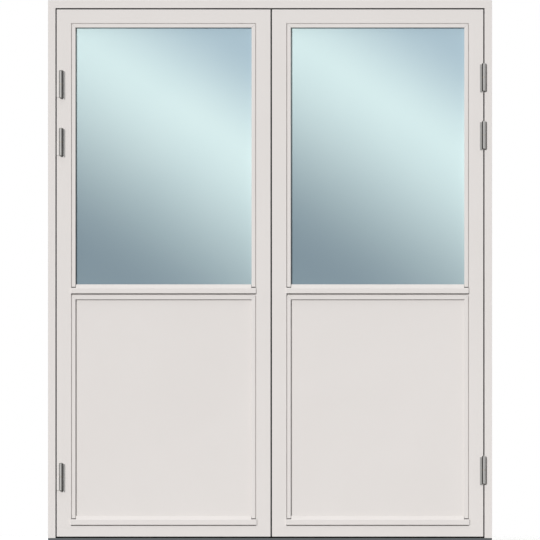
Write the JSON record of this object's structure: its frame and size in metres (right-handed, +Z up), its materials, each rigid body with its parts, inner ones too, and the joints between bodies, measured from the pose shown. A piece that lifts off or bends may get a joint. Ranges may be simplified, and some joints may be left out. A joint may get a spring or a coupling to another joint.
{
  "type": "french doors",
  "caption": "Outward-opening timber double patio door in its frame, with glazed upper and panelled lower halves, lift-off hinges and bolt locks.",
  "frame": {"origin": "centre of the threshold's underside, midway through the frame's depth", "axes": "+X to the right seen from outside, +Y from the outer face to the inner face, +Z up"},
  "size_m": [1.78, 0.138, 2.18],
  "materials": {
    "painted_timber": "off-white satin paint on planed timber",
    "painted_panel": "off-white satin paint on flat laminate skins",
    "panel_foam": "rigid insulating foam, hidden",
    "sill_timber": "oiled hardwood",
    "sill_cover": "dark grey anodised, fine brushed",
    "glass": "clear float glass with a pale blue-green tint",
    "spacer": "matt dark spacer bar",
    "glazing_tape": "matt black closed-cell tape",
    "seal_rubber": "matt black extruded seal",
    "hinge_metal": "satin zinc-plated steel",
    "plated_steel": "bright zinc-plated steel",
    "washer_brass": "plain turned brass",
    "handle_metal": "satin stainless steel"
  },
  "bodies": {
    "frame": {"head": "painted_timber", "left_jamb": "painted_timber", "right_jamb": "painted_timber", "threshold": "sill_timber", "threshold_cover": "sill_cover", "head_stop": "painted_timber", "left_stop": "painted_timber", "right_stop": "painted_timber", "fixing_sleeves": "plated_steel", "head_keep": "plated_steel", "sill_keep": "plated_steel", "left_frame_hinges": "hinge_metal", "right_frame_hinges": "hinge_metal", "hinge_pins": "plated_steel", "hinge_washers": "washer_brass", "hinge_screws": "plated_steel"},
    "left_leaf": {"left_hinge_stile": "painted_timber", "left_meeting_stile": "painted_timber", "left_top_rail": "painted_timber", "left_mid_rail": "painted_timber", "left_bottom_rail": "painted_timber", "left_glass_panes": "glass", "left_glass_spacer": "spacer", "left_panel_skins": "painted_panel", "left_panel_core": "panel_foam", "left_glazing_tape": "glazing_tape", "left_glass_beads": "painted_timber", "left_glass_sill_bead": "painted_timber", "left_panel_beads": "painted_timber", "left_panel_sill_bead": "painted_timber", "left_stop_seal": "seal_rubber", "left_leaf_hinges": "hinge_metal", "left_lock_case": "plated_steel", "left_handle_plate": "handle_metal"},
    "left_lever": {"left_handle": "handle_metal", "left_lock_hub": "plated_steel"},
    "left_upper_bolt": {"left_top_rod": "plated_steel"},
    "left_lower_bolt": {"left_bottom_rod": "plated_steel"},
    "right_leaf": {"right_hinge_stile": "painted_timber", "right_meeting_stile": "painted_timber", "right_top_rail": "painted_timber", "right_mid_rail": "painted_timber", "right_bottom_rail": "painted_timber", "right_glass_panes": "glass", "right_glass_spacer": "spacer", "right_panel_skins": "painted_panel", "right_panel_core": "panel_foam", "right_glazing_tape": "glazing_tape", "right_glass_beads": "painted_timber", "right_glass_sill_bead": "painted_timber", "right_panel_beads": "painted_timber", "right_panel_sill_bead": "painted_timber", "right_stop_seal": "seal_rubber", "right_leaf_hinges": "hinge_metal", "right_lock_case": "plated_steel", "right_handle_plate": "handle_metal"},
    "right_lever": {"right_handle": "handle_metal", "right_lock_hub": "plated_steel"},
    "right_upper_bolt": {"right_top_rod": "plated_steel"},
    "right_lower_bolt": {"right_bottom_rod": "plated_steel"}
  },
  "joints": [
    {"name": "left_leaf_swing", "type": "hinge", "parent": "frame", "child": "left_leaf", "pos_m": [-0.838, -0.0665, 1.24], "axis": [0, 0, -1], "range_deg": [0, 105]},
    {"name": "left_handle_turn", "type": "hinge", "parent": "left_leaf", "child": "left_lever", "pos_m": [-0.023, 0.0075, 1.01], "axis": [0, -1, 0], "range_deg": [0, 90]},
    {"name": "left_upper_bolt_slide", "type": "slide", "parent": "left_leaf", "child": "left_upper_bolt", "axis": [0, 0, 1], "range_m": [0, 0.02]},
    {"name": "left_lower_bolt_slide", "type": "slide", "parent": "left_leaf", "child": "left_lower_bolt", "axis": [0, 0, -1], "range_m": [0, 0.02]},
    {"name": "right_leaf_swing", "type": "hinge", "parent": "frame", "child": "right_leaf", "pos_m": [0.8575, -0.0665, 1.268], "axis": [0, 0, 1], "range_deg": [0, 105]},
    {"name": "right_handle_turn", "type": "hinge", "parent": "right_leaf", "child": "right_lever", "pos_m": [0.033, 0.0075, 1.01], "axis": [0, 1, 0], "range_deg": [0, 90]},
    {"name": "right_upper_bolt_slide", "type": "slide", "parent": "right_leaf", "child": "right_upper_bolt", "axis": [0, 0, 1], "range_m": [0, 0.02]},
    {"name": "right_lower_bolt_slide", "type": "slide", "parent": "right_leaf", "child": "right_lower_bolt", "axis": [0, 0, -1], "range_m": [0, 0.02]}
  ],
  "couplings": [
    {"joint": "left_upper_bolt_slide", "follows": "left_handle_turn", "m_per_rad": 0.01273},
    {"joint": "left_lower_bolt_slide", "follows": "left_handle_turn", "m_per_rad": 0.01273},
    {"joint": "right_upper_bolt_slide", "follows": "right_handle_turn", "m_per_rad": 0.01273},
    {"joint": "right_lower_bolt_slide", "follows": "right_handle_turn", "m_per_rad": 0.01273}
  ]
}
